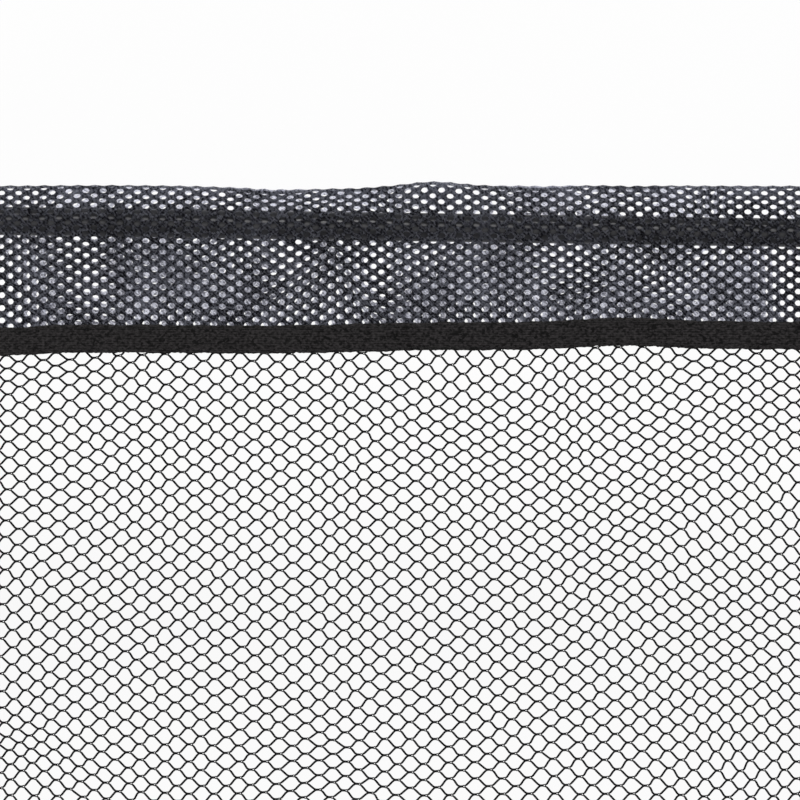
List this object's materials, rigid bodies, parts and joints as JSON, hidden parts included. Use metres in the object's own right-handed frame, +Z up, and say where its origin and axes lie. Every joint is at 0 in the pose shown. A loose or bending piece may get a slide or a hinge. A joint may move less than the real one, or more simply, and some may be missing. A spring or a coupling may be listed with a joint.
{
  "type": "roundnet set",
  "caption": "Roundnet stand: a level net sewn to mesh sleeves on a straight-tube rim, carried by moulded corner joints on legs that fold under the net.",
  "frame": {"origin": "on the ground, under the middle of the net", "axes": "+Z up; +X through the first corner joint; +Y square to the rim side that the picture shows"},
  "size_m": [1.0106, 0.8784, 0.2072],
  "materials": {
    "powder_coated_tube": "matte black powder coat",
    "moulded_nylon": "fine moulded texture",
    "plated_pin": "zinc plated",
    "rubber_foot": "matte rubber",
    "sleeve_mesh": "fine warp-knitted polyester mesh",
    "seam_tape": "woven binding tape with lock stitching",
    "net_cord": "knotless polyester netting"
  },
  "bodies": {
    "root": {"rim_tube_1": "powder_coated_tube", "rim_tube_2": "powder_coated_tube", "rim_tube_3": "powder_coated_tube", "rim_tube_4": "powder_coated_tube", "rim_tube_5": "powder_coated_tube", "rim_tube_6": "powder_coated_tube", "corner_joint_1": "moulded_nylon", "corner_joint_2": "moulded_nylon", "corner_joint_3": "moulded_nylon", "corner_joint_4": "moulded_nylon", "corner_joint_5": "moulded_nylon", "corner_joint_6": "moulded_nylon", "hinge_pin_1": "plated_pin", "hinge_pin_2": "plated_pin", "hinge_pin_3": "plated_pin", "hinge_pin_4": "plated_pin", "hinge_pin_5": "plated_pin", "hinge_pin_6": "plated_pin", "mesh_sleeve_1": "sleeve_mesh", "mesh_sleeve_2": "sleeve_mesh", "mesh_sleeve_3": "sleeve_mesh", "mesh_sleeve_4": "sleeve_mesh", "mesh_sleeve_5": "sleeve_mesh", "mesh_sleeve_6": "sleeve_mesh", "seam_tape_1": "seam_tape", "seam_tape_2": "seam_tape", "seam_tape_3": "seam_tape", "seam_tape_4": "seam_tape", "seam_tape_5": "seam_tape", "seam_tape_6": "seam_tape", "playing_net": "net_cord"},
    "leg_1": {"leg_knuckle_1": "moulded_nylon", "leg_tube_1": "powder_coated_tube", "leg_foot_1": "rubber_foot"},
    "leg_2": {"leg_knuckle_2": "moulded_nylon", "leg_tube_2": "powder_coated_tube", "leg_foot_2": "rubber_foot"},
    "leg_3": {"leg_knuckle_3": "moulded_nylon", "leg_tube_3": "powder_coated_tube", "leg_foot_3": "rubber_foot"},
    "leg_4": {"leg_knuckle_4": "moulded_nylon", "leg_tube_4": "powder_coated_tube", "leg_foot_4": "rubber_foot"},
    "leg_5": {"leg_knuckle_5": "moulded_nylon", "leg_tube_5": "powder_coated_tube", "leg_foot_5": "rubber_foot"},
    "leg_6": {"leg_knuckle_6": "moulded_nylon", "leg_tube_6": "powder_coated_tube", "leg_foot_6": "rubber_foot"}
  },
  "joints": [
    {"name": "leg_fold_1", "type": "hinge", "parent": "root", "child": "leg_1", "pos_m": [0.457, 0, 0.175], "axis": [0, 1, 0], "range_deg": [0, 102]},
    {"name": "leg_fold_2", "type": "hinge", "parent": "root", "child": "leg_2", "pos_m": [0.2285, 0.39577, 0.175], "axis": [-0.866, 0.5, 0], "range_deg": [0, 102]},
    {"name": "leg_fold_3", "type": "hinge", "parent": "root", "child": "leg_3", "pos_m": [-0.2285, 0.39577, 0.175], "axis": [-0.866, -0.5, 0], "range_deg": [0, 102]},
    {"name": "leg_fold_4", "type": "hinge", "parent": "root", "child": "leg_4", "pos_m": [-0.457, 0, 0.175], "axis": [0, -1, 0], "range_deg": [0, 102]},
    {"name": "leg_fold_5", "type": "hinge", "parent": "root", "child": "leg_5", "pos_m": [-0.2285, -0.39577, 0.175], "axis": [0.866, -0.5, 0], "range_deg": [0, 102]},
    {"name": "leg_fold_6", "type": "hinge", "parent": "root", "child": "leg_6", "pos_m": [0.2285, -0.39577, 0.175], "axis": [0.866, 0.5, 0], "range_deg": [0, 102]}
  ]
}
